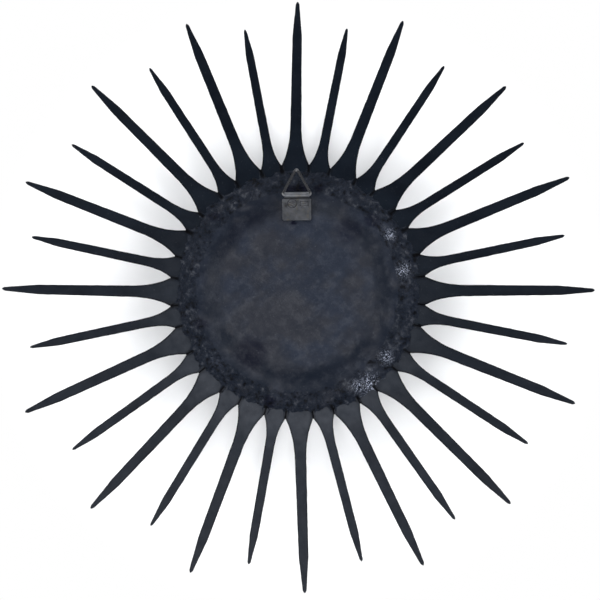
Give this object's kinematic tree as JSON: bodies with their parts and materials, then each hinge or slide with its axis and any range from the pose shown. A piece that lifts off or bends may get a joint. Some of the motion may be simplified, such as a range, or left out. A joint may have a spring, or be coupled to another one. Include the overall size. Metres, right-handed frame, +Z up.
{
  "type": "sunburst wall clock",
  "caption": "Round wall clock in a starburst of flat steel blades, long and short in turn, with a closed dished back, a wire hanging ring and a press-in battery clock in front.",
  "frame": {"origin": "middle of the flat back of the pan, on the axis of the hands", "axes": "+Z up as the clock hangs, -Y out of the dial towards the viewer, +Y towards the wall, +X to the right of someone reading the dial"},
  "size_m": [0.4084, 0.0414, 0.4084],
  "materials": {
    "black_paint": "satin blue-black enamel, brushed on",
    "pan_paint": "satin blue-black enamel, smoother on the pan",
    "filler": "lumpy body filler under the same paint",
    "gunmetal": "dark plated strip with faint heat colours",
    "nickel": "bright nickel wire with a bronze cast",
    "clear_lens": "clear",
    "dial_white": "matte warm white",
    "black_plastic": "fine moulded grain",
    "white_plastic": "acetal",
    "brass": "turned",
    "copper": "enamelled copper winding on a small board",
    "steel": "stamped",
    "magnet": "bonded magnet",
    "cell_wrap": null,
    "hand_black": "satin",
    "hand_red": "satin"
  },
  "bodies": {
    "frame": {"ray_01": "black_paint", "ray_02": "black_paint", "ray_03": "black_paint", "ray_04": "black_paint", "ray_05": "black_paint", "ray_06": "black_paint", "ray_07": "black_paint", "ray_08": "black_paint", "ray_09": "black_paint", "ray_10": "black_paint", "ray_11": "black_paint", "ray_12": "black_paint", "ray_13": "black_paint", "ray_14": "black_paint", "ray_15": "black_paint", "ray_16": "black_paint", "ray_17": "black_paint", "ray_18": "black_paint", "ray_19": "black_paint", "ray_20": "black_paint", "ray_21": "black_paint", "ray_22": "black_paint", "ray_23": "black_paint", "ray_24": "black_paint", "ray_25": "black_paint", "ray_26": "black_paint", "ray_27": "black_paint", "ray_28": "black_paint", "ray_29": "black_paint", "ray_30": "black_paint", "ray_31": "black_paint", "ray_32": "black_paint", "back_pan": "pan_paint", "filler_bead": "filler", "hub_ring": "black_paint", "hanger_strap": "gunmetal"},
    "hanging_ring": {"hanger_ring": "nickel"},
    "clock_insert": {"bezel": "black_paint", "lens": "clear_lens", "dial": "dial_white", "movement_case": "black_plastic", "movement_cover": "black_plastic", "mounting_nut": "brass", "battery": "cell_wrap", "battery_contact_positive": "steel", "battery_contact_negative": "steel", "coil_and_circuit": "copper", "stator": "steel"},
    "minute_hand": {"minute_hand": "hand_black", "minute_arbor": "brass"},
    "hour_hand": {"hour_hand": "hand_black", "hour_wheel": "white_plastic"},
    "second_hand": {"second_hand": "hand_red", "seconds_wheel": "white_plastic"},
    "motion_wheel": {"minute_wheel": "white_plastic"},
    "knob": {"setting_knob": "black_plastic"},
    "rotor": {"rotor": "magnet"},
    "intermediate_wheel": {"intermediate_wheel": "white_plastic"},
    "third_wheel": {"third_wheel": "white_plastic"},
    "centre_wheel": {"centre_wheel": "brass"}
  },
  "joints": [
    {"name": "ring_swing", "type": "hinge", "parent": "frame", "child": "hanging_ring", "pos_m": [0, -0.0009, 0.065], "axis": [-1, 0, 0], "range_deg": [-12, 130]},
    {"name": "insert_pull", "type": "slide", "parent": "frame", "child": "clock_insert", "axis": [0, -1, 0], "range_m": [0, 0.04]},
    {"name": "minute_hand_turn", "type": "hinge", "parent": "clock_insert", "child": "minute_hand", "pos_m": [0, -0.0324, 0], "axis": [0, 1, 0], "continuous": true},
    {"name": "hour_hand_turn", "type": "hinge", "parent": "clock_insert", "child": "hour_hand", "pos_m": [0, -0.0312, 0], "axis": [0, 1, 0], "continuous": true},
    {"name": "motion_wheel_turn", "type": "hinge", "parent": "clock_insert", "child": "motion_wheel", "pos_m": [0.00705, 0, 0.00257], "axis": [0, 1, 0], "continuous": true},
    {"name": "knob_turn", "type": "hinge", "parent": "clock_insert", "child": "knob", "pos_m": [0.01439, 0, 0.00524], "axis": [0, 1, 0], "continuous": true},
    {"name": "second_hand_turn", "type": "hinge", "parent": "clock_insert", "child": "second_hand", "pos_m": [0, -0.0336, 0], "axis": [0, 1, 0], "continuous": true},
    {"name": "intermediate_wheel_turn", "type": "hinge", "parent": "clock_insert", "child": "intermediate_wheel", "pos_m": [0, 0, 0.0072], "axis": [0, 1, 0], "continuous": true},
    {"name": "rotor_turn", "type": "hinge", "parent": "clock_insert", "child": "rotor", "pos_m": [0.00643, 0, 0.0126], "axis": [0, 1, 0], "continuous": true},
    {"name": "third_wheel_turn", "type": "hinge", "parent": "clock_insert", "child": "third_wheel", "pos_m": [-0.01015, 0, 0.00369], "axis": [0, 1, 0], "continuous": true},
    {"name": "centre_wheel_turn", "type": "hinge", "parent": "clock_insert", "child": "centre_wheel", "pos_m": [0, 0, 0], "axis": [0, 1, 0], "continuous": true}
  ],
  "couplings": [
    {"joint": "hour_hand_turn", "follows": "minute_hand_turn", "ratio": 0.083333},
    {"joint": "motion_wheel_turn", "follows": "minute_hand_turn", "ratio": -0.33333},
    {"joint": "knob_turn", "follows": "minute_hand_turn", "ratio": 0.85714},
    {"joint": "intermediate_wheel_turn", "follows": "second_hand_turn", "ratio": -5},
    {"joint": "rotor_turn", "follows": "second_hand_turn", "ratio": 30},
    {"joint": "third_wheel_turn", "follows": "second_hand_turn", "ratio": -0.13333},
    {"joint": "centre_wheel_turn", "follows": "second_hand_turn", "ratio": 0.016667}
  ]
}
